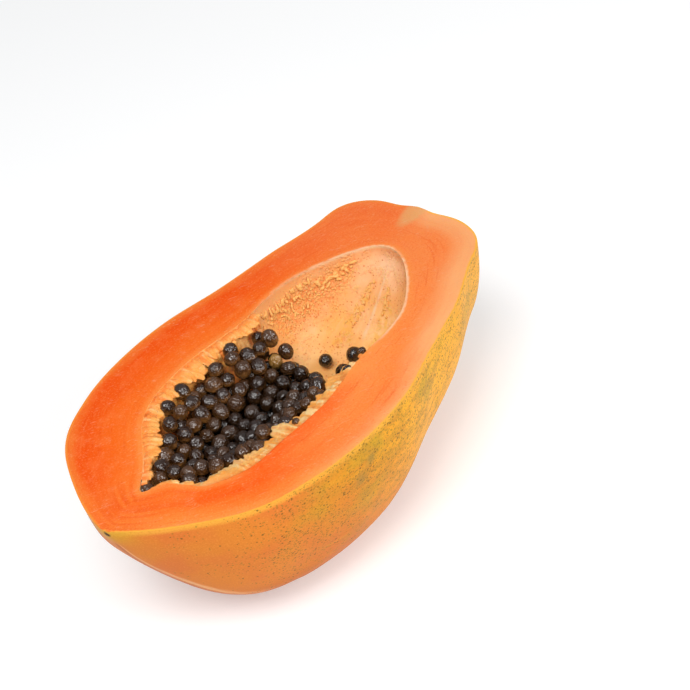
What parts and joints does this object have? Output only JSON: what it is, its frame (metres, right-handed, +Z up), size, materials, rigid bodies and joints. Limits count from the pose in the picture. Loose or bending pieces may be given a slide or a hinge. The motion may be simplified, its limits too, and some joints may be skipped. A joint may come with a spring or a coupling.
{
  "type": "papaya half with seeds",
  "caption": "Ripe papaya cut in half lengthwise, lying on its belly with the orange cut face up and dark seeds in its hollow.",
  "frame": {"origin": "under the middle of the fruit's box, on the surface that the belly rests on", "axes": "+X from the blossom tip to the stem end, +Z up out of the cut face, -Y towards the fuller side"},
  "size_m": [0.2046, 0.1234, 0.073],
  "materials": {
    "fruit": "moist orange flesh with a paler lining in the hollow, inside a satin yellow-orange skin with green speckles",
    "seeds": "wet, wrinkled, dark brown-black jelly coats"
  },
  "bodies": {
    "root": {"fruit_half": "fruit", "seed_cluster": "seeds", "loose_seed_1": "seeds", "loose_seed_2": "seeds", "loose_seed_3": "seeds"}
  },
  "joints": []
}
